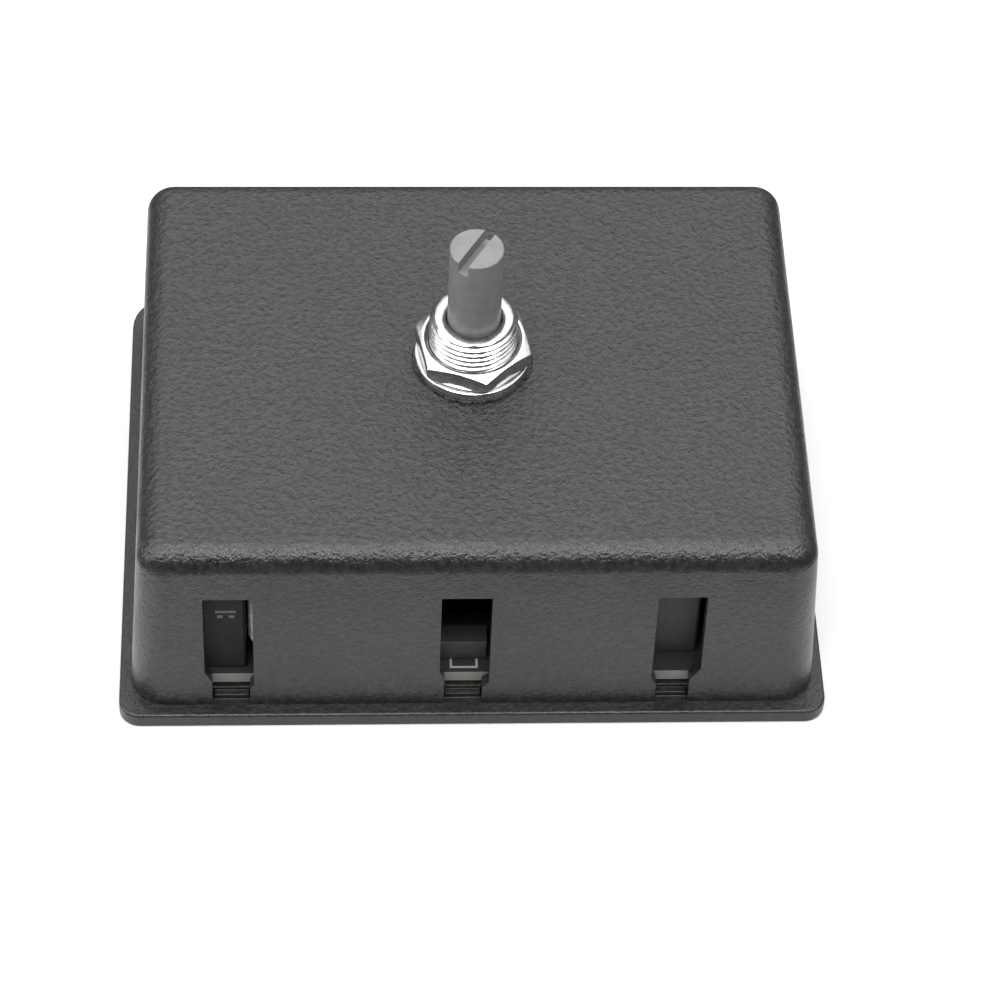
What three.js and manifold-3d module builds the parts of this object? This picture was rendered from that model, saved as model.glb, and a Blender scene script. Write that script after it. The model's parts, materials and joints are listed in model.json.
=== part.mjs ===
// Rotary isolator switch: a three-pole cam switch on a circuit board, in a snap-together box.
// Millimetres, +Z up. The origin is the centre of the base's underside.
// The wall with the three keyhole windows faces -Y and the spindle stands on the Z axis.

import * as THREE from 'three';
import { mergeVertices } from 'three/addons/utils/BufferGeometryUtils.js';
import Module from 'manifold-3d';

const wasm = await Module();
wasm.setup();

// ---------------------------------------------------------------- driving dimensions

const GAP = 0.1; // between pieces that are assembled with play
const PIN_GAP = 0.25; // round a pin or strap that passes through moulding or board
const PAST = 1; // how far a cutting tool, or the root of a joined form, runs past the face it meets

const base = {
  width: 80,
  depth: 64,
  top: 2.0,
  floor: 1.2,
  frontCorner: 2.4,
  backCorner: 5.0,
  chamfer: 0.2,
};
const housing = {
  bottom: { width: 77.4, depth: 60.8, corner: 4.0, z: base.top },
  top: { width: 74.4, depth: 57.4, corner: 3.0, z: 26.2 },
  wall: 1.5,
  roof: 2.0,
  edge: 2.8,
  arcSteps: 8,
};
const gateMark = { radius: 1.9, depth: 0.1, at: [0.2, -17.1] }; // moulder's round mark in the roof
const roofUnderside = housing.top.z - housing.roof;

// Front windows: a wide upper part over a narrow slot that runs out through the bottom edge.
// Each shoulder starts on the wide side and ends lower down, on the slot's side.
const windowTop = 19.55;
const frontWindows = [
  {
    left: -30.2,
    right: -24.75,
    slotLeft: -29.4,
    slotRight: -25.2,
    leftDrop: [7.45, 5.8],
    rightDrop: [5.3, 4.7],
  },
  {
    left: -3.97,
    right: 1.6,
    slotLeft: -3.4,
    slotRight: 0.85,
    leftDrop: [7.45, 5.8],
    rightDrop: [5.3, 4.7],
  },
  {
    left: 19.9,
    right: 25.35,
    slotLeft: 20.5,
    slotRight: 24.2,
    leftDrop: [6.05, 5.0],
    rightDrop: [7.55, 5.7],
  },
];
const rearWindow = { width: 15, bottom: 6, top: 15, centres: [-24, 0, 24] };

const slotTab = { inset: 0.8, thickness: 0.8, top: 2.7 };
const rim = { thickness: 1.2, top: 3.1, corner: 2.4, hollowCorner: 1.2 };
const hook = {
  width: 6,
  centres: [-15, 15],
  thickness: 1.2,
  catch: 0.5,
  catchZ: 6.0,
  lip: 0.5,
  top: 7.8,
  play: 0.3, // round the hook, in the wall's pocket and the board's notch
};

const board = { width: 73.2, depth: 56.6, bottom: 3.4, top: 5.0, corner: 2.4 };
const boardScrews = [[-33, 22], [33, 22], [-33, -7], [33, -7]];
const boss = { radius: 2.8, hole: 1.5, holeDepth: 2.5 };
const boardScrew = { head: 2.6, height: 1.5, shank: 1.25, length: 3.7 };

const block = { half: 18, floor: 7.0, top: 13.6, corner: 1.5, camSpace: 8.7 };
const cover = { flangeTop: 16.0, bossHalf: 11, top: 24.1, clipFloor: 20.85, clipSpace: 5.1 };
const coverScrews = [[-14.9, -14.9], [14.9, -14.9], [-14.9, 14.9], [14.9, 14.9]];
const coverScrew = { head: 2.1, height: 1.3, shank: 1.0, length: 8, hole: 1.25, throughHole: 1.45 };
const crossRecess = { reach: 0.55, halfWidth: 0.25, bottom: 0.35 }; // reach and bottom as parts of the head

const spindle = {
  radius: 3.0,
  top: 44.5,
  edge: 0.12,
  squareTop: 17,
  square: 4.2,
  squareBottom: 7.3,
  pivotRadius: 1.5,
  pivotBottom: 5.3,
};
const spindleSlot = { width: 1.25, depth: 1.5, angle: 58 };
const clip = { bottom: 21.25, thickness: 0.6, groove: 2.4, play: 0.05, inner: 2.5, outer: 4.7, opening: 50 };
const bore = 3.1; // every hole that the spindle turns in

const bush = {
  crest: 5.0,
  root: 4.62,
  pitch: 0.75,
  top: 33.5,
  threadTop: 33.1,
  leadIn: 0.2,
  mouth: 4.35,
  flange: 13,
  flangeBottom: 22.2,
};
const washer = { outer: 6.6, inner: 5.2, bottom: 26.1, top: 27.6, edge: 0.15 };
const seatRecess = { radius: washer.outer + 0.2 }; // the washer sits in a shallow ring in the roof
const nut = {
  acrossFlats: 12,
  top: 30.1,
  turn: 11,
  bore: 5.12,
  mouth: 0.3,
  chamfer: { reach: 0.25, height: 0.45 },
};

const cam = { bottom: 8.6, top: 12.6, hubTop: 13.4, core: 4.6, high: 7.5, lift: 2.5, step: 3 };
const overrun = { high: 6, low: 9 }; // degrees that the cam's ramp runs on past its two ends
const swing = 90; // spindle travel, degrees
const stop = { inner: 4.4, outer: 6.2, width: 30, top: 14.6, angle: 250, play: 1, clearance: 0.2 };

const poles = { a: 90, b: 210, c: 330 }; // plunger directions, degrees from +X
const plunger = { tip: cam.high + 0.12, width: 6.0, length: 5.9, bottom: 7.1, top: 13.4, windowPlay: 0.05 };
const nose = { length: 2.4, tipHalf: 0.2, rootHalf: 1.2 }; // the plunger's wedge that rides on the cam
const channel = { half: 3.1, end: 16.6 };
const contactBay = { inner: 6.5, outer: 12.7, half: 7.8 };
const bridge = { radius: 11.0, thickness: 0.8, half: 7.2, bottom: 9.0, top: 12.0 };
const rivet = { radius: 1.1, height: 0.4, sunk: 0.1, across: 5.7 };
const strap = { inner: 6.8, thickness: 0.8, half: 1.5, bottom: 7.2, top: 12.2, pinHalf: 0.6, pinBottom: 2.5 };
const spring = { radius: 1.8, wire: 0.2, turns: 4, stepsPerTurn: 10 };
const plungerMid = (bridge.bottom + bridge.top) / 2;

const tab = {
  thickness: 0.8,
  apart: 3.8,
  bottom: 8.0,
  top: 12.8,
  front: 20.0,
  tip: 28.1,
  bevel: 0.7,
  hole: 0.7,
  holeFromTip: 3,
  pins: [21.2, 24.6],
};

const transformer = { x: [-35.2, -25.55], y: [-27.45, -12.5], top: 20.0, corner: 0.4 };
const capacitor = {
  x: [-25.45, -14.6],
  y: [-27.2, -23.2],
  z: [7.6, 18.0],
  corner: 1.8,
  leads: [-22.5, -17.5],
  leadRadius: 0.3,
  leadHole: 0.6,
};
const resistors = { x: [-7.5, 1.45], y: [-26.5, -23.9], top: 8.1 };
const filmCapacitor = { x: [14.2, 25.3], y: [-25.7, -18.7], top: 19.2, corner: 0.5 };

// ---------------------------------------------------------------- materials

const finish = (color, roughness, metalness) => () =>
  new THREE.MeshStandardMaterial({ color, roughness, metalness });
const blackPlastic = finish('#2b2b2c', 0.5, 0);
const greySpindle = finish('#8f8f8f', 0.55, 0);
const nickel = finish('#d9d9d6', 0.2, 1);
const steel = finish('#a9abad', 0.35, 1);
const copper = finish('#b8794a', 0.35, 1);
const tinned = finish('#c9c6bd', 0.3, 1);
const laminate = finish('#6f7a5a', 0.6, 0);
const pottedBlock = finish('#222223', 0.5, 0);
const greyCase = finish('#7d7d7c', 0.5, 0);
const dippedCoat = finish('#8a8578', 0.55, 0);
const ivory = finish('#cfc8b4', 0.55, 0);

// ---------------------------------------------------------------- geometry helpers

const radians = THREE.MathUtils.degToRad;

/** A closed geometry as a manifold solid, with its faces turned outwards. */
function solid(geometry) {
  const bare = geometry.clone();
  bare.deleteAttribute('normal');
  bare.deleteAttribute('uv');
  const merged = mergeVertices(bare, 1e-5);
  const position = merged.attributes.position;
  const corner = (i) => new THREE.Vector3().fromBufferAttribute(position, i);
  const index = merged.index.array;
  const triangles = [];
  let volume = 0;
  for (let i = 0; i < index.length; i += 3) {
    const [a, b, c] = index.slice(i, i + 3);
    if (a === b || b === c || c === a) continue;
    triangles.push(a, b, c);
    volume += corner(a).dot(corner(b).cross(corner(c)));
  }
  if (volume < 0) triangles.reverse();
  const mesh = new wasm.Mesh({
    numProp: 3,
    vertProperties: new Float32Array(position.array),
    triVerts: new Uint32Array(triangles),
  });
  return new wasm.Manifold(mesh);
}

/** The geometry of a manifold solid. */
function geometryOf(manifold) {
  const mesh = manifold.getMesh();
  const geometry = new THREE.BufferGeometry();
  geometry.setAttribute('position', new THREE.BufferAttribute(mesh.vertProperties, 3));
  geometry.setIndex(new THREE.BufferAttribute(mesh.triVerts, 1));
  return geometry;
}

/** A named mesh of one solid, with a material of its own. */
function piece(name, manifold, material) {
  const faceted = geometryOf(manifold).toNonIndexed();
  faceted.computeVertexNormals();
  const mesh = new THREE.Mesh(faceted, material());
  mesh.name = name;
  return mesh;
}

function box([x0, x1], [y0, y1], [z0, z1]) {
  const geometry = new THREE.BoxGeometry(x1 - x0, y1 - y0, z1 - z0);
  return geometry.translate((x0 + x1) / 2, (y0 + y1) / 2, (z0 + z1) / 2);
}

function cylinder(radius, [z0, z1], [x, y] = [0, 0], segments = 24) {
  const geometry = new THREE.CylinderGeometry(radius, radius, z1 - z0, segments);
  return geometry.rotateX(Math.PI / 2).translate(x, y, (z0 + z1) / 2);
}

/** A solid of revolution about Z from [radius, z] pairs. */
function turned(profile, segments = 48) {
  const points = profile.map(([r, z]) => new THREE.Vector2(r, z));
  return new THREE.LatheGeometry(points, segments).rotateX(Math.PI / 2);
}

function extruded(shape, [z0, z1], curveSegments = 12) {
  const options = { depth: z1 - z0, bevelEnabled: false, curveSegments };
  return new THREE.ExtrudeGeometry(shape, options).translate(0, 0, z0);
}

/** A shape drawn in X and Z, extruded along Y. */
function extrudedAlongY(shape, [y0, y1], curveSegments = 8) {
  const geometry = new THREE.ExtrudeGeometry(shape, { depth: y1 - y0, bevelEnabled: false, curveSegments });
  return geometry.rotateX(Math.PI / 2).translate(0, y1, 0);
}

/** A shape drawn in Y and Z, extruded along X. */
function extrudedAlongX(shape, [x0, x1], curveSegments = 8) {
  const geometry = new THREE.ExtrudeGeometry(shape, { depth: x1 - x0, bevelEnabled: false, curveSegments });
  return geometry.rotateX(Math.PI / 2).rotateZ(Math.PI / 2).translate(x0, 0, 0);
}

function polygon(points) {
  return new THREE.Shape(points.map(([x, y]) => new THREE.Vector2(x, y)));
}

/** The corners of a rounded rectangle about a centre, anticlockwise; the back pair may be rounder. */
function roundedOutline(halfX, halfY, radius, steps, [cx, cy] = [0, 0], backRadius = radius) {
  const outline = [];
  for (const [sx, sy, start] of [[1, 1, 0], [-1, 1, 90], [-1, -1, 180], [1, -1, 270]]) {
    const r = sy > 0 ? backRadius : radius;
    for (let i = 0; i <= steps; i++) {
      const angle = radians(start + (90 * i) / steps);
      const x = cx + sx * (halfX - r) + r * Math.cos(angle);
      const y = cy + sy * (halfY - r) + r * Math.sin(angle);
      outline.push([x, y]);
    }
  }
  return outline;
}

function roundedBox([x0, x1], [y0, y1], zRange, radius, steps = 3) {
  const centre = [(x0 + x1) / 2, (y0 + y1) / 2];
  return extruded(polygon(roundedOutline((x1 - x0) / 2, (y1 - y0) / 2, radius, steps, centre)), zRange);
}

/** A closed skin through outlines with the same number of corners, each at its own height. */
function loft(sections) {
  const vertices = [];
  const index = [];
  const count = sections[0].outline.length;
  for (const { outline, z } of sections) outline.forEach(([x, y]) => vertices.push(x, y, z));
  for (let s = 0; s + 1 < sections.length; s++) {
    for (let i = 0; i < count; i++) {
      const a = s * count + i;
      const b = s * count + ((i + 1) % count);
      index.push(a, b, b + count, a, b + count, a + count);
    }
  }
  const last = (sections.length - 1) * count;
  for (let i = 1; i + 1 < count; i++) {
    index.push(0, i + 1, i);
    index.push(last, last + i, last + i + 1);
  }
  const geometry = new THREE.BufferGeometry();
  geometry.setAttribute('position', new THREE.Float32BufferAttribute(vertices, 3));
  geometry.setIndex(index);
  return geometry;
}

const joinAll = (solids) => solids.reduce((whole, part) => whole.add(part));
const cutAll = (whole, tools) => tools.reduce((rest, tool) => rest.subtract(tool), whole);
const aboutZ = (geometry, degrees) => geometry.rotateZ(radians(degrees));
const ascending = (a, b) => a - b;

// ---------------------------------------------------------------- housing and base

/** The housing's outer form at a height, from its drafted walls: half sizes and corner radius. */
function housingAt(z) {
  const { bottom, top } = housing;
  const between = (low, high) => THREE.MathUtils.mapLinear(z, bottom.z, top.z, low, high);
  return {
    x: between(bottom.width, top.width) / 2,
    y: between(bottom.depth, top.depth) / 2,
    corner: between(bottom.corner, top.corner),
  };
}

/** The drafted, round-edged form of the housing, set in by a wall, up to a height. */
function housingForm(inset, bottomZ, topZ) {
  const edge = housing.edge - inset;
  const section = (z, draw) => {
    const { x, y, corner } = housingAt(z);
    const drawn = inset + draw;
    return { outline: roundedOutline(x - drawn, y - drawn, corner - drawn, housing.arcSteps), z };
  };
  const sections = [section(bottomZ, 0)];
  for (let i = 0; i <= housing.arcSteps; i++) {
    const angle = (Math.PI / 2) * (i / housing.arcSteps);
    sections.push(section(topZ - edge + edge * Math.sin(angle), edge * (1 - Math.cos(angle))));
  }
  return loft(sections);
}

function keyhole({ left, right, slotLeft, slotRight, leftDrop, rightDrop }) {
  const below = base.top - PAST;
  return polygon([
    [slotLeft, below],
    [slotRight, below],
    [slotRight, rightDrop[1]],
    [right, rightDrop[0]],
    [right, windowTop],
    [left, windowTop],
    [left, leftDrop[0]],
    [slotLeft, leftDrop[1]],
  ]);
}

function housingSolid() {
  const outer = solid(housingForm(0, base.top, housing.top.z));
  const cavity = solid(housingForm(housing.wall, base.top - PAST, roofUnderside));
  const front = [-housing.bottom.depth / 2 - PAST, -housing.top.depth / 2 + 2 * housing.wall];
  const back = [-front[1], -front[0]];
  const openings = frontWindows.map((window) => extrudedAlongY(keyhole(window), front));
  for (const x of rearWindow.centres) {
    const span = [x - rearWindow.width / 2, x + rearWindow.width / 2];
    openings.push(box(span, back, [rearWindow.bottom, rearWindow.top]));
  }
  const above = housing.top.z + PAST;
  openings.push(cylinder(washer.inner, [roofUnderside - PAST, above], [0, 0], 36));
  openings.push(cylinder(seatRecess.radius, [washer.bottom, above], [0, 0], 40));
  openings.push(cylinder(gateMark.radius, [housing.top.z - gateMark.depth, above], gateMark.at, 32));
  for (const side of [-1, 1]) {
    const wallInside = housingAt(hook.catchZ).x - housing.wall;
    for (const y of hook.centres) {
      const depth = [side * (wallInside - PAST), side * (wallInside + hook.catch + hook.play)];
      const width = [y - hook.width / 2 - hook.play, y + hook.width / 2 + hook.play];
      openings.push(box(depth.sort(ascending), width, [hook.catchZ - GAP, hook.top + hook.play]));
    }
  }
  return cutAll(outer.subtract(cavity), openings.map(solid));
}

function baseSolid() {
  const half = { x: base.width / 2, y: base.depth / 2 };
  const level = (z, draw) => {
    const corners = [base.frontCorner - draw, base.backCorner - draw];
    const [x, y] = [half.x - draw, half.y - draw];
    return { outline: roundedOutline(x, y, corners[0], housing.arcSteps, [0, 0], corners[1]), z };
  };
  const plate = solid(
    loft([
      level(0, base.chamfer),
      level(base.chamfer, 0),
      level(base.top - base.chamfer, 0),
      level(base.top, base.chamfer),
    ]),
  );
  const inside = housingAt(base.top);
  const rimX = inside.x - housing.wall - GAP;
  const rimY = inside.y - housing.wall - GAP;
  const hollowX = rimX - rim.thickness;
  const hollowY = rimY - rim.thickness;
  const rimSolid = solid(roundedBox([-rimX, rimX], [-rimY, rimY], [base.floor, rim.top], rim.corner));
  const hollowZ = [base.floor, rim.top + PAST];
  const hollow = solid(roundedBox([-hollowX, hollowX], [-hollowY, hollowY], hollowZ, rim.hollowCorner));
  const tabs = frontWindows.map(({ slotLeft, slotRight }) => {
    const front = -inside.y + slotTab.inset;
    const depth = [front, front + slotTab.thickness];
    return solid(box([slotLeft + GAP, slotRight - GAP], depth, [base.floor, slotTab.top]));
  });
  const hooks = [];
  for (const side of [-1, 1]) {
    for (const y of hook.centres) hooks.push(solid(snapHook(side, y)));
  }
  const bosses = boardScrews.map((at) => solid(cylinder(boss.radius, [base.floor, board.bottom], at)));
  const holeZ = [board.bottom - boss.holeDepth, board.bottom + PAST];
  const holes = boardScrews.map((at) => solid(cylinder(boss.hole, holeZ, at, 16)));
  return cutAll(joinAll([plate.add(rimSolid).subtract(hollow), ...tabs, ...hooks, ...bosses]), holes);
}

/** A snap hook on a short side: an upright with a wedge that catches in the housing wall. */
function snapHook(side, y) {
  const face = housingAt(hook.top).x - housing.wall - GAP;
  const back = face - hook.thickness;
  const outline = polygon([
    [side * back, base.floor],
    [side * face, base.floor],
    [side * face, hook.catchZ],
    [side * (face + hook.catch), hook.catchZ],
    [side * (face + hook.catch), hook.catchZ + hook.lip],
    [side * face, hook.top],
    [side * back, hook.top],
  ]);
  return extrudedAlongY(outline, [y - hook.width / 2, y + hook.width / 2]);
}

// ---------------------------------------------------------------- screws

/** A pan-head screw with a cross recess, its head resting at the given height. */
function panScrew([x, y], seat, { head, height, shank, length }) {
  const profile = [
    [0, seat - length],
    [shank, seat - length + shank * 0.5],
    [shank, seat],
    [head, seat],
    [head, seat + height * 0.55],
    [head * 0.7, seat + height],
    [0, seat + height],
  ];
  const arm = [-head * crossRecess.reach, head * crossRecess.reach];
  const width = [-crossRecess.halfWidth, crossRecess.halfWidth];
  const recess = [seat + height * crossRecess.bottom, seat + height + PAST];
  const cross = [box(arm, width, recess), box(width, arm, recess)];
  return cutAll(solid(turned(profile, 12)), cross.map(solid)).translate([x, y, 0]);
}

// ---------------------------------------------------------------- board and what stands on it

/** Where the six switch straps pass down through the block's floor and the board. */
function strapPins() {
  const pins = [];
  for (const degrees of Object.values(poles)) {
    for (const side of [-1, 1]) {
      const at = new THREE.Vector2(strap.inner + strap.thickness / 2, side * rivet.across);
      at.rotateAround(new THREE.Vector2(), radians(degrees));
      pins.push([at.x, at.y]);
    }
  }
  return pins;
}

function tabPlaces() {
  return rearWindow.centres.flatMap((x) => [x - tab.apart, x + tab.apart]);
}

function boardSolid() {
  const halfX = board.width / 2;
  const halfY = board.depth / 2;
  const thickness = [board.bottom, board.top];
  const through = [board.bottom - PAST, board.top + PAST];
  const sheet = solid(roundedBox([-halfX, halfX], [-halfY, halfY], thickness, board.corner));
  const holes = boardScrews.map((at) => cylinder(boss.hole, through, at, 16));
  const pinHole = Math.hypot(strap.pinHalf, strap.thickness / 2) + PIN_GAP;
  strapPins().forEach((at) => holes.push(cylinder(pinHole, through, at, 8)));
  for (const x of tabPlaces()) tab.pins.forEach((y) => holes.push(cylinder(pinHole, through, [x, y], 8)));
  const leadY = (capacitor.y[0] + capacitor.y[1]) / 2;
  capacitor.leads.forEach((x) => holes.push(cylinder(capacitor.leadHole, through, [x, leadY], 8)));
  const notch = housingAt(hook.top).x - housing.wall - GAP - hook.thickness - hook.play;
  for (const y of hook.centres) {
    const width = [y - hook.width / 2 - hook.play, y + hook.width / 2 + hook.play];
    holes.push(box([notch, halfX + PAST], width, through));
    holes.push(box([-halfX - PAST, -notch], width, through));
  }
  return cutAll(sheet, holes.map(solid));
}

/** A blade terminal standing on two pins, its blade pointing out of a rear window. */
function tabSolid(x) {
  const { bottom, top, front, tip, bevel, pins } = tab;
  const foot = (y) => [[y - strap.pinHalf, bottom], [y - strap.pinHalf, strap.pinBottom],
    [y + strap.pinHalf, strap.pinBottom], [y + strap.pinHalf, bottom]];
  const outline = polygon([
    [front, bottom],
    ...pins.flatMap(foot),
    [tip - bevel, bottom],
    [tip, bottom + bevel],
    [tip, top - bevel],
    [tip - bevel, top],
    [front, top],
  ]);
  const hole = new THREE.Path();
  hole.absarc(tip - tab.holeFromTip, (bottom + top) / 2, tab.hole, 0, 2 * Math.PI, true);
  outline.holes.push(hole);
  return solid(extrudedAlongX(outline, [x - tab.thickness / 2, x + tab.thickness / 2], 12));
}

function dippedCapacitorSolid() {
  const { x, y, z, corner, leads, leadRadius } = capacitor;
  const centre = [(x[0] + x[1]) / 2, (z[0] + z[1]) / 2];
  const half = [(x[1] - x[0]) / 2, (z[1] - z[0]) / 2];
  const middle = (y[0] + y[1]) / 2;
  const halfThick = (y[1] - y[0]) / 2;
  const steps = 6;
  const lean = radians(75); // the dipped edge is a round that stops short of a half circle
  const sections = [];
  for (let i = 0; i <= steps; i++) {
    const angle = lean * ((2 * i) / steps - 1);
    const draw = corner * 0.8 * (1 - Math.cos(angle));
    const outline = roundedOutline(half[0] - draw, half[1] - draw, corner - draw, 4, centre);
    sections.push({ outline, z: (halfThick * Math.sin(angle)) / Math.sin(lean) });
  }
  const body = solid(loft(sections).rotateX(Math.PI / 2).translate(0, middle, 0));
  const wireZ = [strap.pinBottom, z[0] + corner];
  const wires = leads.map((at) => solid(cylinder(leadRadius, wireZ, [at, middle], 8)));
  return joinAll([body, ...wires]);
}

// ---------------------------------------------------------------- switch body

function blockSolid() {
  const { half, floor, top, corner } = block;
  const outer = solid(roundedBox([-half, half], [-half, half], [board.top, top], corner));
  const above = [floor, top + PAST];
  const throughFloor = [board.top - PAST, floor + PAST];
  const tools = [
    cylinder(block.camSpace, above, [0, 0], 36),
    cylinder(spindle.pivotRadius + GAP, throughFloor, [0, 0], 24),
  ];
  for (const degrees of Object.values(poles)) {
    tools.push(aboutZ(box([0, channel.end], [-channel.half, channel.half], above), degrees));
    const bay = [contactBay.inner, contactBay.outer];
    tools.push(aboutZ(box(bay, [-contactBay.half, contactBay.half], above), degrees));
    for (const side of [-1, 1]) {
      const centre = side * rivet.across;
      const across = [centre - strap.pinHalf - PIN_GAP, centre + strap.pinHalf + PIN_GAP];
      const along = [strap.inner - PIN_GAP, strap.inner + strap.thickness + PIN_GAP];
      tools.push(aboutZ(box(along, across, throughFloor), degrees));
    }
  }
  const screwZ = [cover.flangeTop - coverScrew.length - GAP, top + PAST];
  for (const at of coverScrews) tools.push(cylinder(coverScrew.hole, screwZ, at, 16));
  return cutAll(outer, tools.map(solid));
}

/** A ring sector about the Z axis. */
function sector(inner, outer, fromDegrees, toDegrees, zRange) {
  const shape = new THREE.Shape();
  shape.absarc(0, 0, outer, radians(fromDegrees), radians(toDegrees), false);
  shape.absarc(0, 0, inner, radians(toDegrees), radians(fromDegrees), true);
  return extruded(shape, zRange);
}

function coverSolid() {
  const { half, top: seat, corner } = block;
  const { flangeTop, bossHalf, top } = cover;
  const flange = solid(roundedBox([-half, half], [-half, half], [seat, flangeTop], corner));
  const tower = solid(roundedBox([-bossHalf, bossHalf], [-bossHalf, bossHalf], [seat, top], corner));
  const play = stop.width / 2 + stop.play;
  const lugInner = stop.inner - stop.clearance;
  const lugOuter = stop.outer + stop.clearance;
  const lugZ = [seat - PAST, stop.top + stop.clearance];
  const above = top + PAST;
  const bushHalf = bush.flange / 2 + GAP;
  const tools = [
    cylinder(bore, [seat - PAST, above], [0, 0], 36),
    cylinder(cover.clipSpace, [cover.clipFloor, above], [0, 0], 36),
    box([-bushHalf, bushHalf], [-bushHalf, bushHalf], [bush.flangeBottom, above]),
    sector(lugInner, lugOuter, stop.angle - swing - play, stop.angle + play, lugZ),
  ];
  const screwZ = [seat - PAST, flangeTop + PAST];
  for (const at of coverScrews) tools.push(cylinder(coverScrew.throughHole, screwZ, at, 16));
  return cutAll(flange.add(tower), tools.map(solid));
}

/** The cam's radius at an angle measured from the first pole, in degrees. */
function camRadius(degrees) {
  const lobe = 360 / Object.keys(poles).length;
  const ramp = (angle) => cam.high - (cam.lift * angle) / swing;
  const local = ((((degrees + overrun.high) % lobe) + lobe) % lobe) - overrun.high;
  const rampEnd = swing + overrun.low;
  if (local <= rampEnd) return ramp(local);
  const nextPeak = lobe - overrun.high;
  return THREE.MathUtils.mapLinear(local, rampEnd, nextPeak, ramp(rampEnd), ramp(-overrun.high));
}

function camSolid() {
  const outline = [];
  for (let angle = 0; angle < 360; angle += cam.step) {
    const at = radians(angle + poles.a);
    outline.push([camRadius(angle) * Math.cos(at), camRadius(angle) * Math.sin(at)]);
  }
  const disc = solid(extruded(polygon(outline), [cam.bottom, cam.top]));
  const core = solid(cylinder(cam.core, [cam.top - PAST, cam.hubTop], [0, 0], 32));
  const hub = solid(cylinder(stop.outer, [cam.top, cam.hubTop], [0, 0], 32));
  const halfLug = stop.width / 2;
  const lugZ = [(cam.top + cam.hubTop) / 2, stop.top];
  const lug = sector(stop.inner, stop.outer, stop.angle - halfLug, stop.angle + halfLug, lugZ);
  const hole = spindle.square / 2 + GAP / 2;
  const square = box([-hole, hole], [-hole, hole], [cam.bottom - PAST, stop.top + PAST]);
  return joinAll([disc, core, hub, solid(lug)]).subtract(solid(square));
}

// ---------------------------------------------------------------- spindle, bush, washer and nut

function spindleSolid() {
  const { radius, top, edge, squareTop, square, squareBottom, pivotRadius, pivotBottom } = spindle;
  const grooveBottom = clip.bottom - clip.play;
  const grooveTop = clip.bottom + clip.thickness + clip.play;
  const shaft = turned([
    [0, squareTop],
    [radius, squareTop],
    [radius, grooveBottom],
    [clip.groove, grooveBottom],
    [clip.groove, grooveTop],
    [radius, grooveTop],
    [radius, top - edge],
    [radius - edge, top],
    [0, top],
  ]);
  const across = [-square / 2, square / 2];
  const drive = box(across, across, [squareBottom, squareTop + PAST]);
  const pivot = cylinder(pivotRadius, [pivotBottom, squareBottom + PAST], [0, 0], 24);
  const slotAcross = [-spindleSlot.width / 2, spindleSlot.width / 2];
  const slot = box([-radius - PAST, radius + PAST], slotAcross, [top - spindleSlot.depth, top + PAST]);
  const whole = joinAll([shaft, drive, pivot].map(solid));
  return whole.subtract(solid(aboutZ(slot, spindleSlot.angle)));
}

function clipSolid() {
  const { bottom, thickness, inner, outer, opening } = clip;
  return solid(sector(inner, outer, opening / 2, 360 - opening / 2, [bottom, bottom + thickness]));
}

function bushSolid() {
  const { crest, root, pitch, top, threadTop, leadIn, mouth, flange, flangeBottom } = bush;
  const profile = [[0, cover.top - PAST], [crest, cover.top - PAST], [crest, housing.top.z]];
  const turns = Math.floor((threadTop - housing.top.z) / pitch);
  for (let i = 0; i < turns; i++) {
    const z = threadTop - (turns - i) * pitch;
    profile.push([root, z], [crest, z + 0.5 * pitch]);
  }
  profile.push([root, threadTop - leadIn / 2], [root + leadIn, threadTop], [mouth, top], [0, top]);
  const barrel = solid(turned(profile, 32));
  const half = flange / 2;
  const foot = solid(box([-half, half], [-half, half], [flangeBottom, cover.top]));
  return barrel.add(foot).subtract(solid(cylinder(bore, [flangeBottom - PAST, top + PAST], [0, 0], 36)));
}

function washerSolid() {
  const { inner, outer, bottom, top, edge } = washer;
  return solid(turned([
    [inner, bottom],
    [outer, bottom],
    [outer, top - edge],
    [outer - edge, top],
    [inner, top],
    [inner, bottom],
  ], 40));
}

function nutSolid() {
  const { acrossFlats, top, turn, chamfer, mouth } = nut;
  const bottom = washer.top;
  const flat = acrossFlats / 2 + chamfer.reach;
  const corner = acrossFlats / Math.sqrt(3);
  const hexagon = aboutZ(cylinder(corner, [bottom, top], [0, 0], 6), turn);
  const rounded = turned([
    [0, bottom],
    [flat, bottom],
    [corner, bottom + chamfer.height],
    [corner + PAST, bottom + chamfer.height],
    [corner + PAST, top - chamfer.height],
    [corner, top - chamfer.height],
    [flat, top],
    [0, top],
  ], 36);
  const hole = turned([
    [0, bottom - PAST],
    [nut.bore, bottom - PAST],
    [nut.bore, top - mouth],
    [nut.bore + mouth, top],
    [nut.bore + mouth, top + PAST],
    [0, top + PAST],
  ], 36);
  return solid(hexagon).intersect(solid(rounded)).subtract(solid(hole));
}

// ---------------------------------------------------------------- one pole, drawn along +X

function plungerSolid() {
  const { tip, width, length, bottom, top, windowPlay } = plunger;
  const half = width / 2;
  const noseBack = tip + nose.length;
  const wedge = polygon([
    [tip, -nose.tipHalf],
    [noseBack, -nose.rootHalf],
    [noseBack + PAST, -nose.rootHalf],
    [noseBack + PAST, nose.rootHalf],
    [noseBack, nose.rootHalf],
    [tip, nose.tipHalf],
  ]);
  const body = box([noseBack, tip + length], [-half, half], [bottom, top]);
  const window = box(
    [bridge.radius - windowPlay, bridge.radius + bridge.thickness + windowPlay],
    [-half - PAST, half + PAST],
    [bridge.bottom - windowPlay, bridge.top + windowPlay],
  );
  const whole = solid(extruded(wedge, [cam.bottom + GAP, cam.top - GAP])).add(solid(body));
  return whole.subtract(solid(window));
}

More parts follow.
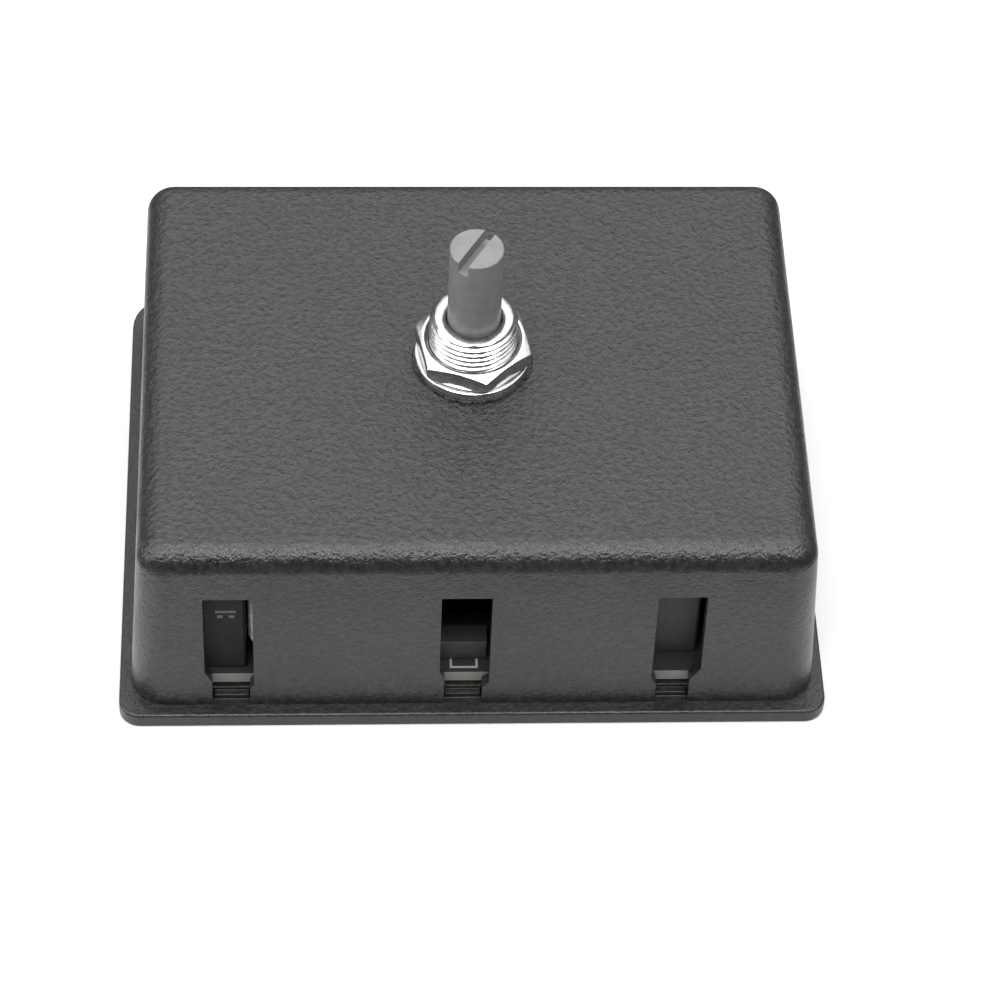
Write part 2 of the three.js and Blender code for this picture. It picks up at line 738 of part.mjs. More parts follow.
/** A contact rivet whose axis lies along X between two places, set across the pole at one side. */
function rivetBetween([x0, x1], side) {
  const geometry = new THREE.CylinderGeometry(rivet.radius, rivet.radius, x1 - x0, 16);
  return geometry.rotateZ(Math.PI / 2).translate((x0 + x1) / 2, side * rivet.across, plungerMid);
}

function bridgeSolid() {
  const { radius, thickness, half, bottom, top } = bridge;
  const bar = box([radius, radius + thickness], [-half, half], [bottom, top]);
  const rivets = [-1, 1].map((side) => rivetBetween([radius - rivet.height, radius + rivet.sunk], side));
  return joinAll([bar, ...rivets].map(solid));
}

function strapSolid(side) {
  const { inner, thickness, half, bottom: shoulder, top, pinHalf, pinBottom } = strap;
  const middle = side * rivet.across;
  const face = inner + thickness;
  const outline = polygon([
    [middle - pinHalf, pinBottom],
    [middle + pinHalf, pinBottom],
    [middle + pinHalf, shoulder],
    [middle + half, shoulder],
    [middle + half, top],
    [middle - half, top],
    [middle - half, shoulder],
    [middle - pinHalf, shoulder],
  ]);
  const blade = extrudedAlongX(outline, [inner, face]);
  const button = rivetBetween([face - rivet.sunk, face + rivet.height], side);
  return solid(blade).add(solid(button));
}

class Helix extends THREE.Curve {
  constructor(start, end) {
    super();
    this.start = start;
    this.end = end;
  }

  getPoint(t) {
    const angle = t * spring.turns * 2 * Math.PI;
    const x = this.start + (this.end - this.start) * t;
    const y = spring.radius * Math.cos(angle);
    const z = plungerMid + spring.radius * Math.sin(angle);
    return new THREE.Vector3(x, y, z);
  }
}

function springSolid() {
  const margin = spring.wire + GAP;
  const path = new Helix(plunger.tip + plunger.length + margin, channel.end - margin);
  const wire = new THREE.Shape().absarc(0, 0, spring.wire, 0, 2 * Math.PI, false);
  const steps = spring.turns * spring.stepsPerTurn;
  return solid(new THREE.ExtrudeGeometry(wire, { steps, curveSegments: 3, extrudePath: path }));
}

function pole(letter, degrees) {
  const group = new THREE.Group();
  group.rotation.z = radians(degrees);
  group.add(piece(`contact_plunger_${letter}`, plungerSolid(), ivory));
  group.add(piece(`moving_bridge_${letter}`, bridgeSolid(), copper));
  group.add(piece(`plunger_spring_${letter}`, springSolid(), steel));
  group.add(piece(`fixed_contact_${letter}1`, strapSolid(-1), copper));
  group.add(piece(`fixed_contact_${letter}2`, strapSolid(1), copper));
  return group;
}

// ---------------------------------------------------------------- assembly

function assembly() {
  const group = new THREE.Group();
  group.name = 'rotary_isolator_switch';
  const add = (name, manifold, material) => group.add(piece(name, manifold, material));

  add('housing', housingSolid(), blackPlastic);
  add('base', baseSolid(), blackPlastic);

  add('circuit_board', boardSolid(), laminate);
  boardScrews.forEach((at, i) => {
    add(`board_screw_${i + 1}`, panScrew(at, board.top, boardScrew), steel);
  });
  tabPlaces().forEach((x, i) => add(`tab_terminal_${i + 1}`, tabSolid(x), tinned));

  const { x, y, top, corner } = transformer;
  add('encapsulated_transformer', solid(roundedBox(x, y, [board.top, top], corner)), pottedBlock);
  add('dipped_capacitor', dippedCapacitorSolid(), dippedCoat);
  add('resistor_network', solid(box(resistors.x, resistors.y, [board.top, resistors.top])), greyCase);
  const film = filmCapacitor;
  add('film_capacitor', solid(roundedBox(film.x, film.y, [board.top, film.top], film.corner)), greyCase);

  add('contact_block', blockSolid(), blackPlastic);
  add('contact_cover', coverSolid(), blackPlastic);
  coverScrews.forEach((at, i) => {
    add(`cover_screw_${i + 1}`, panScrew(at, cover.flangeTop, coverScrew), steel);
  });
  for (const [letter, degrees] of Object.entries(poles)) group.add(pole(letter, degrees));

  add('cam', camSolid(), ivory);
  add('spindle', spindleSolid(), greySpindle);
  add('spindle_clip', clipSolid(), steel);
  add('mounting_bush', bushSolid(), nickel);
  add('washer', washerSolid(), nickel);
  add('hex_nut', nutSolid(), nickel);
  return group;
}

export default assembly();
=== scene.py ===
import json
import math

import bmesh
import bpy
from mathutils import Matrix, Vector


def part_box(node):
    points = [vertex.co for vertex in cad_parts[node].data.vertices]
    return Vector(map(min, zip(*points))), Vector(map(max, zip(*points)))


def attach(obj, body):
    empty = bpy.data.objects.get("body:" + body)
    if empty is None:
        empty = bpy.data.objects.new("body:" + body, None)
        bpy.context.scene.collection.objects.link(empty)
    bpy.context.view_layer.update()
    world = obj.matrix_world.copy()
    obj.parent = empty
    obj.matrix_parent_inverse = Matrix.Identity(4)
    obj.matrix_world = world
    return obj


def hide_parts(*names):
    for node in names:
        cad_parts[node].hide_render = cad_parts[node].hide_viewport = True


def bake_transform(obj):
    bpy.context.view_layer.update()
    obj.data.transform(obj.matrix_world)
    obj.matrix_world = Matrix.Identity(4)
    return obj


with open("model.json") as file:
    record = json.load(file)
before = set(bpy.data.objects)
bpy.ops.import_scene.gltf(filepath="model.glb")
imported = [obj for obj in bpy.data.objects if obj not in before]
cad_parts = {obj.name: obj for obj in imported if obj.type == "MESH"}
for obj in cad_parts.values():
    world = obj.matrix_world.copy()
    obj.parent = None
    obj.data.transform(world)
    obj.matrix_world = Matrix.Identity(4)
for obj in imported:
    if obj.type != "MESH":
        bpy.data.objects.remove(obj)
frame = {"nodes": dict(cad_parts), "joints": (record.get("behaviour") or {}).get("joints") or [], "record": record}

bpy.context.view_layer.update()

MM = 0.001
UP = Vector((0, 0, 1))
ORIGIN = Vector((0, 0, 0))

# Places and sizes worked out from the frame, in metres.
SPINDLE_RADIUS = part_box("spindle")[1].x
BUSH_LOW, BUSH_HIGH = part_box("mounting_bush")
WASHER_LOW, WASHER_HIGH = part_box("washer")
NUT_LOW, NUT_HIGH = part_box("hex_nut")
BOARD_LOW, BOARD_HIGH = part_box("circuit_board")
BLOCK_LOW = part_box("encapsulated_transformer")[0]
COVER_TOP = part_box("contact_cover")[1].z


# ---------------------------------------------------------------- camera and light

def make_camera():
    """The camera: where it stands round the object, then the small turn that frames it."""
    azimuth, elevation, roll = (math.radians(a) for a in (-3.663, 49.739, 2.597))
    distance = 0.42964
    aim = Vector((0, 0, 11.9 * MM))
    pan, tilt = (math.radians(a) for a in (-0.4891, -0.9174))
    lens = 133.1
    back = Vector((
        math.sin(azimuth) * math.cos(elevation),
        -math.cos(azimuth) * math.cos(elevation),
        math.sin(elevation),
    ))
    right = (-back).cross(UP).normalized()
    axes = Matrix((right, back.cross(right), back)).transposed()
    framing = Matrix.Rotation(roll, 3, "Z") @ Matrix.Rotation(pan, 3, "Y") @ Matrix.Rotation(tilt, 3, "X")
    camera = bpy.data.objects.new("camera", bpy.data.cameras.new("camera"))
    bpy.context.scene.collection.objects.link(camera)
    camera.data.lens = lens
    camera.data.sensor_width = 36
    camera.data.clip_start = 0.01
    camera.data.clip_end = 20
    camera.matrix_world = Matrix.Translation(aim + back * distance) @ (axes @ framing).to_4x4()
    bpy.context.scene.camera = camera


def area_light(name, place, target, size, power):
    """A rectangular soft box at a place, facing a target."""
    lamp = bpy.data.lights.new(name, "AREA")
    lamp.shape = "RECTANGLE"
    lamp.size, lamp.size_y = size
    lamp.energy = power
    light = bpy.data.objects.new(name, lamp)
    bpy.context.scene.collection.objects.link(light)
    light.location = place
    light.rotation_euler = (Vector(place) - Vector(target)).to_track_quat("Z", "Y").to_euler()


def make_world():
    """A studio sky: dim at the horizon, bright overhead and behind, dark on the camera's side."""
    world = bpy.data.worlds.new("studio")
    bpy.context.scene.world = world
    world.use_nodes = True
    tree = world.node_tree
    background = tree.nodes["Background"]
    direction = tree.nodes.new("ShaderNodeTexCoord").outputs["Generated"]

    def falloff(axis, start, end, low, high):
        dot = tree.nodes.new("ShaderNodeVectorMath")
        dot.operation = "DOT_PRODUCT"
        dot.inputs[1].default_value = Vector(axis).normalized()
        tree.links.new(direction, dot.inputs[0])
        ramp = tree.nodes.new("ShaderNodeMapRange")
        for socket, value in zip(("From Min", "From Max", "To Min", "To Max"), (start, end, low, high)):
            ramp.inputs[socket].default_value = value
        tree.links.new(dot.outputs["Value"], ramp.inputs["Value"])
        return ramp.outputs["Result"]

    sky = falloff((0, 0.15, 1), 0.4, 0.84, 0.2, 2.6)
    edge = math.radians(34)  # the bright part of the sky ends this far in front of straight up
    front = falloff((0, -math.cos(edge), -math.sin(edge)), -0.03, 0.05, 1.0, 0.04)
    strength = tree.nodes.new("ShaderNodeMath")
    strength.operation = "MULTIPLY"
    tree.links.new(sky, strength.inputs[0])
    tree.links.new(front, strength.inputs[1])
    tree.links.new(strength.outputs["Value"], background.inputs["Strength"])
    background.inputs["Color"].default_value = (1, 1, 1, 1)


def make_dark_surround():
    """Dark cards laid round the object, seen only in its reflections, like a studio's flags."""
    card = Surface("dark_card", grey(0.07), 0.9)
    card.bump([(card.noise(2.0), 0.05)])
    bm = bmesh.new()
    inner, outer, height = 0.062, 2.4, 0.0004
    corners = ((-1, -1), (1, -1), (1, 1), (-1, 1))
    near = [bm.verts.new((x * inner, y * inner, height)) for x, y in corners]
    far = [bm.verts.new((x * outer, y * outer, height)) for x, y in corners]
    for i in range(4):
        j = (i + 1) % 4
        bm.faces.new((near[i], near[j], far[j], far[i]))
    cards = mesh_object("dark_cards", bm, card.material, None, smooth=False)
    cards.visible_camera = False
    cards.visible_diffuse = False
    cards.visible_shadow = False
    cards.visible_transmission = False


def make_studio():
    make_world()
    area_light("overhead_box", (0.0, -0.42, 0.9), ORIGIN, (1.6, 0.34), 12.0)
    area_light("left_box", (-0.9, -0.1, 0.35), ORIGIN, (0.5, 0.5), 4.0)
    bpy.ops.mesh.primitive_plane_add(size=6, location=(0, 0, 0))
    floor = bpy.context.object
    floor.name = "floor"
    paper = Surface("floor_paper", grey(0.62), 0.7)
    paper.bump([(paper.noise(3.0, detail=4), 0.02)])
    floor.data.materials.append(paper.material)
    make_dark_surround()
    bpy.context.scene.view_settings.view_transform = "Standard"


# ---------------------------------------------------------------- materials

class Surface:
    """A procedural material: a Principled shader, and textures in the row's own frame that feed it."""

    def __init__(self, name, color, roughness, metallic=0.0, **sockets):
        self.material = bpy.data.materials.new(name)
        self.material.use_nodes = True
        self.nodes = self.material.node_tree.nodes
        self.links = self.material.node_tree.links
        self.shader = self.nodes["Principled BSDF"]
        self.shader.inputs["Base Color"].default_value = (*color, 1)
        self.shader.inputs["Roughness"].default_value = roughness
        self.shader.inputs["Metallic"].default_value = metallic
        for socket, value in sockets.items():
            self.shader.inputs[socket.replace("_", " ")].default_value = value
        self.place = self.nodes.new("ShaderNodeTexCoord").outputs["Object"]

    def upwards(self):
        """How far the face looks up or down: 1 on flat faces, 0 on upright ones."""
        normal = self.nodes.new("ShaderNodeNewGeometry").outputs["True Normal"]
        split = self.nodes.new("ShaderNodeSeparateXYZ")
        self.links.new(normal, split.inputs["Vector"])
        return self.math("ABSOLUTE", split.outputs["Z"])

    def scaled(self, stretch):
        mapping = self.nodes.new("ShaderNodeMapping")
        mapping.inputs["Scale"].default_value = stretch
        self.links.new(self.place, mapping.inputs["Vector"])
        return mapping.outputs["Vector"]

    def noise(self, size_mm, detail=2.0, roughness=0.5, stretch=None):
        """Soft noise with features of about the given size, between 0 and 1."""
        texture = self.nodes.new("ShaderNodeTexNoise")
        texture.inputs["Scale"].default_value = 1 / (size_mm * MM)
        texture.inputs["Detail"].default_value = detail
        texture.inputs["Roughness"].default_value = roughness
        self.links.new(self.scaled(stretch) if stretch else self.place, texture.inputs["Vector"])
        return texture.outputs["Fac"]

    def cells(self, size_mm):
        """The distance to the nearest of many scattered points, for pits and grains."""
        texture = self.nodes.new("ShaderNodeTexVoronoi")
        texture.inputs["Scale"].default_value = 1 / (size_mm * MM)
        self.links.new(self.place, texture.inputs["Vector"])
        return texture.outputs["Distance"]

    def spread(self, value, low, high, start=0.3, end=0.7, smooth=True):
        """Maps a value between start and end onto low to high."""
        ramp = self.nodes.new("ShaderNodeMapRange")
        if smooth:
            ramp.interpolation_type = "SMOOTHSTEP"
        for socket, number in zip(("From Min", "From Max", "To Min", "To Max"), (start, end, low, high)):
            ramp.inputs[socket].default_value = number
        self.links.new(value, ramp.inputs["Value"])
        return ramp.outputs["Result"]

    def math(self, operation, *values):
        node = self.nodes.new("ShaderNodeMath")
        node.operation = operation
        for socket, value in zip(node.inputs, values):
            if isinstance(value, (int, float)):
                socket.default_value = value
            else:
                self.links.new(value, socket)
        return node.outputs["Value"]

    def feed(self, socket, value):
        self.links.new(value, self.shader.inputs[socket])

    def colour_between(self, value, first, second):
        """Base colour that runs from the first colour to the second as the value goes from 0 to 1."""
        mix = self.nodes.new("ShaderNodeMix")
        mix.data_type = "RGBA"
        sockets = [s for s in mix.inputs if s.type == "RGBA"]
        sockets[0].default_value = (*first, 1)
        sockets[1].default_value = (*second, 1)
        self.links.new(value, mix.inputs["Factor"])
        self.feed("Base Color", next(s for s in mix.outputs if s.type == "RGBA"))

    def bump(self, heights):
        """Surface relief: pairs of a 0 to 1 value and its height in millimetres."""
        normal = None
        for value, height in heights:
            node = self.nodes.new("ShaderNodeBump")
            node.inputs["Distance"].default_value = height * MM
            self.links.new(value, node.inputs["Height"])
            if normal:
                self.links.new(normal, node.inputs["Normal"])
            normal = node.outputs["Normal"]
        self.links.new(normal, self.shader.inputs["Normal"])


def grey(value):
    return (value, value, value)


def shade(color, factor):
    return tuple(min(c * factor, 1) for c in color)


def moulded_black(name, tone, roughness, grain_mm, relief_mm):
    """Spark-eroded black moulding: coarse grain on faces that lie flat, finer on upright ones."""
    surface = Surface(name, grey(tone), roughness)
    flat = surface.spread(surface.upwards(), 0.35, 1.0, 0.5, 0.9)
    coarse = surface.noise(grain_mm, detail=3, roughness=0.6)
    fine = surface.noise(grain_mm * 0.4, detail=2)
    patches = surface.noise(9.0, detail=3)
    surface.bump([(surface.math("MULTIPLY", coarse, flat), relief_mm), (fine, relief_mm * 0.25)])
    surface.colour_between(surface.spread(coarse, 0, 1), grey(tone * 0.55), grey(tone * 1.5))
    surface.feed("Roughness", surface.spread(patches, roughness - 0.04, roughness + 0.05))
    return surface.material


def plated(name, color, roughness, relief_mm=0.006):
    """Bright plating with faint turning marks, a slightly uneven surface and uneven polish."""
    surface = Surface(name, color, roughness, metallic=1.0)
    marks = surface.noise(0.5, detail=4, stretch=(0.25, 0.25, 6))
    cloud = surface.noise(1.6, detail=3)
    surface.bump([(marks, 0.004), (cloud, relief_mm * 4)])
    surface.colour_between(surface.spread(cloud, 0, 1), shade(color, 0.8), shade(color, 1.15))
    surface.feed("Roughness", surface.spread(cloud, roughness * 0.75, roughness * 1.5))
    return surface.material


def plain_plastic(name, color, roughness, grain_mm=0.3, relief_mm=0.008, **sockets):
    """Plain moulded plastic with slight mottling."""
    surface = Surface(name, color, roughness, **sockets)
    grain = surface.noise(grain_mm, detail=3)
    mottle = surface.noise(1.4, detail=4, roughness=0.6)
    surface.bump([(grain, relief_mm)])
    surface.colour_between(surface.spread(mottle, 0, 1), shade(color, 0.9), shade(color, 1.08))
    surface.feed("Roughness", surface.spread(grain, roughness - 0.05, roughness + 0.06))
    return surface.material


def laminate():
    """Dark solder mask on the board's faces, pale glass-epoxy on its sawn edges."""
    surface = Surface("laminate", grey(0.03), 0.4)
    flat = surface.upwards()
    weave = surface.noise(0.35, detail=3, stretch=(1, 1, 3))
    surface.bump([(weave, 0.02)])
    surface.colour_between(surface.spread(flat, 0, 1, 0.4, 0.6), (0.21, 0.2, 0.185), (0.02, 0.023, 0.02))
    surface.feed("Roughness", surface.spread(flat, 0.75, 0.38, 0.4, 0.6))
    return surface.material


def dipped_coat():
    """An epoxy dip: pitted, lumpy and slightly glossy."""
    surface = Surface("dipped_coat", grey(0.45), 0.35)
    lumps = surface.noise(0.8, detail=4, roughness=0.65)
    pits = surface.spread(surface.cells(0.5), 0, 1, 0.05, 0.35)
    surface.bump([(lumps, 0.12), (pits, 0.03)])
    surface.colour_between(surface.spread(lumps, 0, 1), grey(0.3), grey(0.65))
    surface.feed("Roughness", surface.spread(lumps, 0.25, 0.5))
    return surface.material


def copper_alloy():
    """Rolled copper alloy with patches of tarnish."""
    surface = Surface("contact_copper", (0.72, 0.42, 0.26), 0.3, metallic=1.0)
    rolled = surface.noise(0.3, detail=4, stretch=(1, 1, 0.2))
    tarnish = surface.noise(1.2, detail=4)
    surface.bump([(rolled, 0.006)])
    surface.colour_between(surface.spread(tarnish, 0, 1), (0.62, 0.35, 0.2), (0.78, 0.47, 0.3))
    surface.feed("Roughness", surface.spread(tarnish, 0.24, 0.42))
    return surface.material


def make_materials():
    """Every material, by the record's slot name."""
    return {
        "housing_plastic": moulded_black("housing_plastic", 0.013, 0.30, 0.65, 0.26),
        "base_plastic": moulded_black("base_plastic", 0.008, 0.38, 0.6, 0.12),
        "laminate": laminate(),
        "potted_block": plain_plastic("potted_block", grey(0.014), 0.6, Specular_IOR_Level=0.2),
        "dipped_coat": dipped_coat(),
        "resistor_case": plain_plastic("resistor_case", grey(0.03), 0.5),
        "film_case": plain_plastic("film_case", grey(0.035), 0.5),
        "switch_moulding": plain_plastic("switch_moulding", grey(0.03), 0.45),
        "cam_moulding": plain_plastic("cam_moulding", (0.62, 0.58, 0.5), 0.45),
        "spindle_plastic": plain_plastic("spindle_plastic", grey(0.145), 0.42, grain_mm=0.5, relief_mm=0.03),
        "spring_steel": plated("spring_steel", grey(0.5), 0.3),
        "screw_steel": plated("screw_steel", grey(0.6), 0.3),
        "bush_nickel": plated("bush_nickel", (0.52, 0.51, 0.50), 0.2, relief_mm=0.02),
        "washer_nickel": plated("washer_nickel", (0.6, 0.59, 0.58), 0.22),
        "nut_nickel": plated("nut_nickel", (0.66, 0.65, 0.64), 0.16),
        "tinned_brass": plated("tinned_brass", (0.76, 0.75, 0.71), 0.26),
        "contact_copper": copper_alloy(),
    }


# ---------------------------------------------------------------- mesh helpers

def mesh_object(name, bm, material, body, smooth=True):
    """Turns a bmesh into a named object with its faces pointing out.

    It rides on a body if one is given.
    """
    bmesh.ops.recalc_face_normals(bm, faces=bm.faces)
    mesh = bpy.data.meshes.new(name)
    bm.to_mesh(mesh)
    bm.free()
    piece = bpy.data.objects.new(name, mesh)
    bpy.context.scene.collection.objects.link(piece)
    mesh.materials.append(material)
    for polygon in mesh.polygons:
        polygon.use_smooth = smooth
    if body:
        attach(piece, body)
    return piece


def soften_edges(piece, width_mm, angle=35, segments=2):
    """Small rounded edges with clean shading, without touching the mesh itself."""
    bevel = piece.modifiers.new("soft_edges", "BEVEL")
    bevel.width = width_mm * MM
    bevel.segments = segments
    bevel.limit_method = "ANGLE"
    bevel.angle_limit = math.radians(angle)
    bevel.harden_normals = False
    normals = piece.modifiers.new("clean_normals", "WEIGHTED_NORMAL")
    normals.keep_sharp = True
    normals.weight = 80


def finish_node(node, material, width_mm):
    """Gives a CAD node its material, and clean rounded edges by modifiers."""
    piece = frame["nodes"][node]
    mesh = piece.data
    mesh.materials.clear()
    mesh.materials.append(material)
    for layer in ("custom_normal", "sharp_face", "sharp_edge"):
        if layer in mesh.attributes:
            mesh.attributes.remove(mesh.attributes[layer])
    for polygon in mesh.polygons:
        polygon.use_smooth = True
    weld = piece.modifiers.new("joined_facets", "WELD")
    weld.merge_threshold = 0.001 * MM
    merge = piece.modifiers.new("whole_faces", "DECIMATE")
    merge.decimate_type = "DISSOLVE"
    merge.angle_limit = math.radians(0.6)
    soften_edges(piece, width_mm)


def ring_grid(rings, closed=False):
    """A bmesh through rings of points, each ring closed on itself; the first and last rings can join."""
    bm = bmesh.new()
    rows = [[bm.verts.new(point) for point in ring] for ring in rings]
    count = len(rings[0])
    pairs = list(zip(rows, rows[1:]))
    if closed:
        pairs.append((rows[-1], rows[0]))
    for lower, upper in pairs:
        for i in range(count):
            j = (i + 1) % count
            bm.faces.new((lower[i], lower[j], upper[j], upper[i]))
    return bm


def round_ring(radius, height, count, turn=0.0):
    """Points round the Z axis; the radius can depend on the angle."""
    points = []
    for i in range(count):
        angle = turn + 2 * math.pi * i / count
        r = radius(angle) if callable(radius) else radius
        z = height(angle) if callable(height) else height
        points.append((r * math.cos(angle) * MM, r * math.sin(angle) * MM, z * MM))
    return points


# ---------------------------------------------------------------- bush, nut and washer

BORE = SPINDLE_RADIUS / MM + 0.1
BORE_MOUTH = 0.25
THREAD = {
    "crest": 5.0,
    "root": 4.56,
    "pitch": 0.75,
    "chamfer": 0.65,
    "chamfer_slope": 1.15,
    "flat": 0.12,  # the flat at the root, and the flank beside it, as shares of half a pitch
    "flank": 0.74,
}


def thread_radius(z, angle, top):
    """A single-start right-hand V thread with small flats, cut off by the chamfer at its end."""
    phase = (z / THREAD["pitch"] - angle / (2 * math.pi)) % 1.0
    flank = abs(2 * phase - 1)
    share = min(max((flank - THREAD["flat"]) / THREAD["flank"], 0.0), 1.0)
    cut = THREAD["root"] + (THREAD["crest"] - THREAD["root"]) * share
    end_cone = THREAD["crest"] - THREAD["chamfer"] + (top - z) * THREAD["chamfer_slope"]
    return min(cut, end_cone)


def make_bush(material):
    """The bush's barrel with a real helical thread, and its square foot inside the housing."""
    count = 144
    step = 0.05
    low, top = COVER_TOP / MM, BUSH_HIGH.z / MM
    rings = [round_ring(BORE, low, count), round_ring(THREAD["root"], low, count)]
    steps = round((top - low) / step)
    for k in range(1, steps + 1):
        z = low + (top - low) * k / steps
        rings.append(round_ring(lambda angle, z=z: thread_radius(z, angle, top), z, count))
    rings.append(round_ring(BORE + BORE_MOUTH, top, count))
    rings.append(round_ring(BORE, top - BORE_MOUTH, count))
    barrel_mesh = ring_grid(rings, closed=True)
    barrel = mesh_object("bush_barrel", barrel_mesh, material, "enclosure")
    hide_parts("mounting_bush")
    half = BUSH_HIGH.x / MM
    square = lambda angle: half / max(abs(math.cos(angle)), abs(math.sin(angle)))
    foot_low, foot_count = BUSH_LOW.z / MM, 96
    foot_rings = [
        round_ring(BORE, foot_low, foot_count),
        round_ring(square, foot_low, foot_count),
        round_ring(square, low, foot_count),
        round_ring(BORE, low, foot_count),
    ]
    foot_mesh = ring_grid(foot_rings, closed=True)
    foot = mesh_object("bush_foot", foot_mesh, material, "enclosure")
    soften_edges(foot, 0.15)


NUT = {"flat": 6.0, "turn": 11, "face": 5.75, "slope": 0.5, "bore": 5.1, "sink": 0.4}


def make_nut(material):
    """A chamfered hexagon nut: its top and bottom faces fall away to the six corners."""
    count = 180
    turn = math.radians(NUT["turn"])
    low, top = NUT_LOW.z / MM, NUT_HIGH.z / MM

    def hexagon(angle):
        from_flat = (angle - turn + math.pi / 6) % (math.pi / 3) - math.pi / 6
        return NUT["flat"] / math.cos(from_flat)

    def at_share(share):
        return lambda angle: NUT["face"] + (hexagon(angle) - NUT["face"]) * share

    def fall(radius):
        return lambda angle: NUT["slope"] * (radius(angle) - NUT["face"])

    rings = [round_ring(NUT["bore"], low + NUT["sink"], count, turn)]
    rings.append(round_ring(NUT["bore"] + NUT["sink"], low, count, turn))
    shares = (0.0, 0.34, 0.67, 1.0)
    for share in shares:
        radius = at_share(share)
        rings.append(round_ring(radius, lambda a, r=radius: low + fall(r)(a), count, turn))
    for share in reversed(shares):
        radius = at_share(share)
        rings.append(round_ring(radius, lambda a, r=radius: top - fall(r)(a), count, turn))
    rings.append(round_ring(NUT["bore"] + NUT["sink"], top, count, turn))
    rings.append(round_ring(NUT["bore"], top - NUT["sink"], count, turn))
    nut = mesh_object("nut_body", ring_grid(rings, closed=True), material, "enclosure")
    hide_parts("hex_nut")
    soften_edges(nut, 0.07, angle=22)


def make_washer(material):
    """A stamped washer: rounded upper edge, sharp lower edge."""
    outer, inner = WASHER_HIGH.x / MM, THREAD["crest"] + 0.2
    low, top = WASHER_LOW.z / MM, WASHER_HIGH.z / MM
    rounding, burr, lower_mouth, upper_mouth = 0.28, 0.08, 0.1, 0.15
    profile = [
        (inner, low + lower_mouth),
        (inner + lower_mouth, low),
        (outer - burr, low),
        (outer, low + burr),
    ]
    steps = 5
    for i in range(steps + 1):
        angle = math.pi / 2 * i / steps
        r = outer - rounding + rounding * math.cos(angle)
        profile.append((r, top - rounding + rounding * math.sin(angle)))
    profile += [(inner + upper_mouth, top), (inner, top - upper_mouth)]
    rings = [round_ring(r, z, 128) for r, z in profile]
    washer_mesh = ring_grid(rings, closed=True)
    washer = mesh_object("washer_body", washer_mesh, material, "enclosure")
    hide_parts("washer")


# ---------------------------------------------------------------- springs

def make_spring(letter, degrees, material):
    """A coil spring built where the CAD spring lies, turned to its carrier's direction."""
    node = f"plunger_spring_{letter}"
    turns, wire, sides, per_turn = 4, 0.2, 10, 28
    low, high = (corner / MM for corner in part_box("plunger_spring_a"))  # the one that lies along +Y
    centre_z = (low.z + high.z) / 2
    coil = (high.x - low.x) / 2 - wire
    start, end = low.y + wire, high.y - wire
    spin = Matrix.Rotation(math.radians(degrees), 3, "Z")
    rings = []
    for i in range(turns * per_turn + 1):
        t = i / (turns * per_turn)
        angle = 2 * math.pi * turns * t
        outward = Vector((0, math.cos(angle), math.sin(angle)))
        centre = Vector((start + (end - start) * t, 0, centre_z)) + outward * coil
        ring = []
        for k in range(sides):
            a = 2 * math.pi * k / sides
            point = centre + outward * wire * math.cos(a) + Vector((1, 0, 0)) * wire * math.sin(a)
            ring.append(spin @ (point * MM))
        rings.append(ring)
    bm = ring_grid(rings)
    bm.verts.ensure_lookup_table()
    bm.faces.new(bm.verts[:sides])
    bm.faces.new(bm.verts[-sides:])
    spring = mesh_object(f"coil_spring_{letter}", bm, material, None)
    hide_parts(node)
    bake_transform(spring)


# ---------------------------------------------------------------- board print and marks

def bar(bm, low, high):
    """A small square-edged bar between two corners, in millimetres."""
    made = bmesh.ops.create_cube(bm, size=1)
    low, high = Vector(low), Vector(high)
    for vert in made["verts"]:
        share = vert.co + Vector((0.5, 0.5, 0.5))
        vert.co = Vector(a + (b - a) * t for a, b, t in zip(low, high, share)) * MM


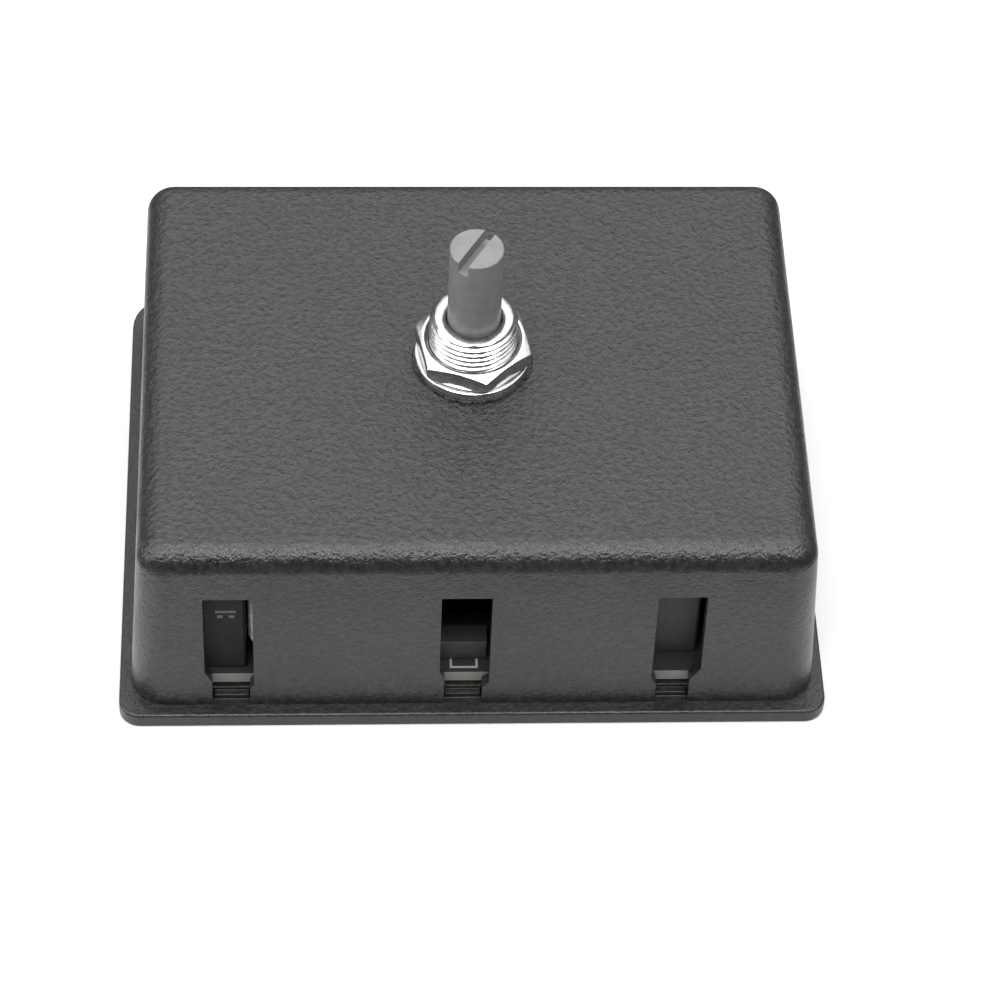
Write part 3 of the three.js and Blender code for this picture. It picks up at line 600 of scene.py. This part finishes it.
def make_board_print(material):
    """The printed outline of a low component at the board's front edge."""
    z = BOARD_HIGH.z / MM
    front = BOARD_LOW.y / MM + 0.55
    left, right, depth, line, thickness = -2.72, 0.45, 1.3, 0.26, 0.05
    bm = bmesh.new()
    bar(bm, (left, front, z), (right, front + line, z + thickness))
    for start in (left, right - line):
        bar(bm, (start, front + line, z), (start + line, front + depth, z + thickness))
    mesh_object("board_print", bm, material, "enclosure", smooth=False)


def make_block_mark(material):
    """A plain printed mark on the potted block: a short bar over two dots, with no lettering."""
    face = BLOCK_LOW.y / MM
    low, left, thickness = 14.2, -28.9, 0.05
    bm = bmesh.new()
    bar(bm, (left, face - thickness, low + 0.9), (left + 2.3, face, low + 1.3))
    for start in (left + 0.2, left + 1.5):
        bar(bm, (start, face - thickness, low), (start + 0.6, face, low + 0.5))
    mesh_object("block_mark", bm, material, "enclosure", smooth=False)


# ---------------------------------------------------------------- assembly

SLOT_OF = {row["node"]: row["material_slot"] for row in frame["record"]["subparts"]}
REPLACED = (
    "mounting_bush",
    "hex_nut",
    "washer",
    "plunger_spring_a",
    "plunger_spring_b",
    "plunger_spring_c",
)
EDGE_MM = {"housing": 0.22, "base": 0.18, "spindle": 0.06, "circuit_board": 0.05}
OTHER_EDGE_MM = 0.12


def dress_cad_nodes(materials):
    for node in frame["nodes"]:
        if node not in REPLACED:
            finish_node(node, materials[SLOT_OF[node]], EDGE_MM.get(node, OTHER_EDGE_MM))


def make_springs(materials):
    """One spring for each sliding carrier, turned to the carrier's direction."""
    for joint in frame["joints"]:
        if joint["name"].startswith("carrier_"):
            letter = joint["name"].split("_")[1]
            x, y, _ = joint["axis"]
            make_spring(letter, math.degrees(math.atan2(y, x)), materials["spring_steel"])


make_camera()
make_studio()
materials = make_materials()
dress_cad_nodes(materials)
make_bush(materials["bush_nickel"])
make_nut(materials["nut_nickel"])
make_washer(materials["washer_nickel"])
make_springs(materials)
make_board_print(plain_plastic("board_ink", grey(0.3), 0.5))
make_block_mark(plain_plastic("block_ink", grey(0.09), 0.6))

bpy.context.view_layer.update()
